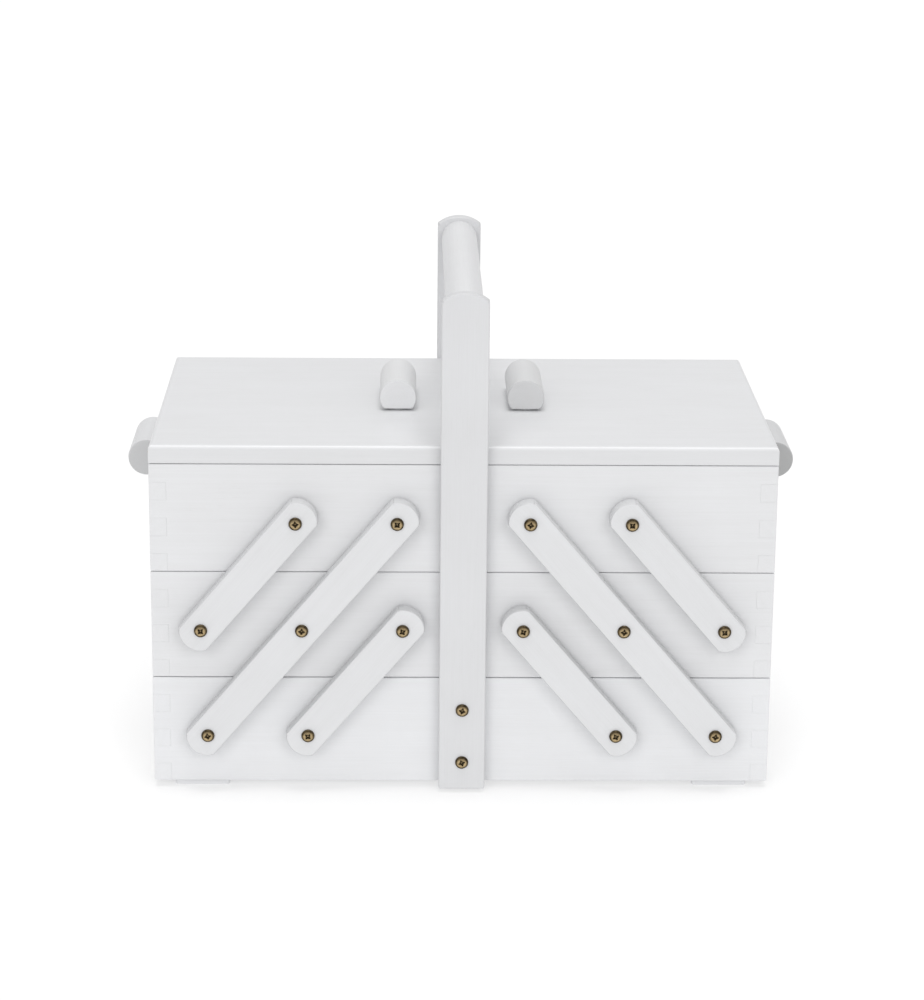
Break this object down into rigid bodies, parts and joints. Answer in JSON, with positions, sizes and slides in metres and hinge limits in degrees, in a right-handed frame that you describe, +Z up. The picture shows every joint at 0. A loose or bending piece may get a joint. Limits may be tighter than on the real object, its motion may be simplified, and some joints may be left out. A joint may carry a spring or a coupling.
{
  "type": "sewing box with trays",
  "caption": "White painted wooden cantilever sewing box: tiers of finger-jointed trays on link arms swing apart under hinged lids, with side handles and a fixed carry bar.",
  "frame": {"origin": "on the floor under the middle of the box, at the bottom centre of the bounding box", "axes": "+Z up, +X to the right seen from the front, +Y towards the back; the trays swing apart along X"},
  "size_m": [0.4862, 0.2954, 0.365],
  "materials": {
    "painted_boards": "satin white paint, faint grain",
    "lids": "satin white paint, faint grain",
    "link_arms": "satin white paint, eased edges",
    "carry_frame": "satin white paint, upright grain",
    "grips": "satin white paint on dowel, grain at the ends",
    "bottom_panels": "white painted plywood",
    "feet": "white painted blocks",
    "brass_screws": "antique brass, dark in the recesses",
    "brass_hinges": "plain brass, lightly tarnished"
  },
  "bodies": {
    "base": {"base_front_board": "painted_boards", "base_back_board": "painted_boards", "base_left_end": "painted_boards", "base_right_end": "painted_boards", "base_bottom_panel": "bottom_panels", "feet": "feet", "base_screws": "brass_screws", "front_upright": "carry_frame", "back_upright": "carry_frame", "carry_bar": "carry_frame"},
    "left_long_arms": {"left_front_long_arm": "link_arms", "left_back_long_arm": "link_arms"},
    "left_lower_arms": {"left_front_lower_arm": "link_arms", "left_back_lower_arm": "link_arms"},
    "left_upper_arms": {"left_front_upper_arm": "link_arms", "left_back_upper_arm": "link_arms"},
    "left_middle_tray": {"left_middle_front_board": "painted_boards", "left_middle_back_board": "painted_boards", "left_middle_outer_end": "painted_boards", "left_middle_inner_end": "painted_boards", "left_middle_bottom_panel": "bottom_panels", "left_middle_screws": "brass_screws"},
    "left_top_tray": {"left_top_front_board": "painted_boards", "left_top_back_board": "painted_boards", "left_top_outer_end": "painted_boards", "left_top_inner_end": "painted_boards", "left_top_bottom_panel": "bottom_panels", "left_top_screws": "brass_screws", "left_side_handle": "grips", "left_hinge_tray_leaves": "brass_hinges", "left_hinge_pins": "brass_hinges"},
    "left_lid": {"left_lid": "lids", "left_lid_knob": "grips", "left_lid_screws": "brass_screws", "left_hinge_lid_leaves": "brass_hinges"},
    "right_long_arms": {"right_front_long_arm": "link_arms", "right_back_long_arm": "link_arms"},
    "right_lower_arms": {"right_front_lower_arm": "link_arms", "right_back_lower_arm": "link_arms"},
    "right_upper_arms": {"right_front_upper_arm": "link_arms", "right_back_upper_arm": "link_arms"},
    "right_middle_tray": {"right_middle_front_board": "painted_boards", "right_middle_back_board": "painted_boards", "right_middle_outer_end": "painted_boards", "right_middle_inner_end": "painted_boards", "right_middle_bottom_panel": "bottom_panels", "right_middle_screws": "brass_screws"},
    "right_top_tray": {"right_top_front_board": "painted_boards", "right_top_back_board": "painted_boards", "right_top_outer_end": "painted_boards", "right_top_inner_end": "painted_boards", "right_top_bottom_panel": "bottom_panels", "right_top_screws": "brass_screws", "right_side_handle": "grips", "right_hinge_tray_leaves": "brass_hinges", "right_hinge_pins": "brass_hinges"},
    "right_lid": {"right_lid": "lids", "right_lid_knob": "grips", "right_lid_screws": "brass_screws", "right_hinge_lid_leaves": "brass_hinges"}
  },
  "joints": [
    {"name": "left_spread", "type": "hinge", "parent": "base", "child": "left_long_arms", "pos_m": [-0.1805, 0, 0.0442], "axis": [0, -1, 0], "range_deg": [0, 80.8]},
    {"name": "left_middle_tray_pivot", "type": "hinge", "parent": "left_long_arms", "child": "left_middle_tray", "pos_m": [-0.1135, 0, 0.1228], "axis": [0, -1, 0], "range_deg": [-80.8, 0]},
    {"name": "left_top_tray_pivot", "type": "hinge", "parent": "left_long_arms", "child": "left_top_tray", "pos_m": [-0.0465, 0, 0.2014], "axis": [0, -1, 0], "range_deg": [-80.8, 0]},
    {"name": "left_lower_arm_pivot", "type": "hinge", "parent": "base", "child": "left_lower_arms", "pos_m": [-0.1095, 0, 0.0442], "axis": [0, -1, 0], "range_deg": [0, 80.8]},
    {"name": "left_upper_arm_pivot", "type": "hinge", "parent": "left_middle_tray", "child": "left_upper_arms", "pos_m": [-0.1845, 0, 0.1228], "axis": [0, -1, 0], "range_deg": [0, 80.8]},
    {"name": "left_lid_hinge", "type": "hinge", "parent": "left_top_tray", "child": "left_lid", "pos_m": [-0.221, 0, 0.2406], "axis": [0, -1, 0], "range_deg": [0, 135]},
    {"name": "right_spread", "type": "hinge", "parent": "base", "child": "right_long_arms", "pos_m": [0.1805, 0, 0.0442], "axis": [0, 1, 0], "range_deg": [0, 80.8]},
    {"name": "right_middle_tray_pivot", "type": "hinge", "parent": "right_long_arms", "child": "right_middle_tray", "pos_m": [0.1135, 0, 0.1228], "axis": [0, 1, 0], "range_deg": [-80.8, 0]},
    {"name": "right_top_tray_pivot", "type": "hinge", "parent": "right_long_arms", "child": "right_top_tray", "pos_m": [0.0465, 0, 0.2014], "axis": [0, 1, 0], "range_deg": [-80.8, 0]},
    {"name": "right_lower_arm_pivot", "type": "hinge", "parent": "base", "child": "right_lower_arms", "pos_m": [0.1095, 0, 0.0442], "axis": [0, 1, 0], "range_deg": [0, 80.8]},
    {"name": "right_upper_arm_pivot", "type": "hinge", "parent": "right_middle_tray", "child": "right_upper_arms", "pos_m": [0.1845, 0, 0.1228], "axis": [0, 1, 0], "range_deg": [0, 80.8]},
    {"name": "right_lid_hinge", "type": "hinge", "parent": "right_top_tray", "child": "right_lid", "pos_m": [0.221, 0, 0.2406], "axis": [0, 1, 0], "range_deg": [0, 135]}
  ],
  "couplings": [
    {"joint": "left_middle_tray_pivot", "follows": "left_spread", "ratio": -1},
    {"joint": "left_top_tray_pivot", "follows": "left_spread", "ratio": -1},
    {"joint": "left_lower_arm_pivot", "follows": "left_spread", "ratio": 1},
    {"joint": "left_upper_arm_pivot", "follows": "left_spread", "ratio": 1},
    {"joint": "right_middle_tray_pivot", "follows": "right_spread", "ratio": -1},
    {"joint": "right_top_tray_pivot", "follows": "right_spread", "ratio": -1},
    {"joint": "right_lower_arm_pivot", "follows": "right_spread", "ratio": 1},
    {"joint": "right_upper_arm_pivot", "follows": "right_spread", "ratio": 1}
  ]
}
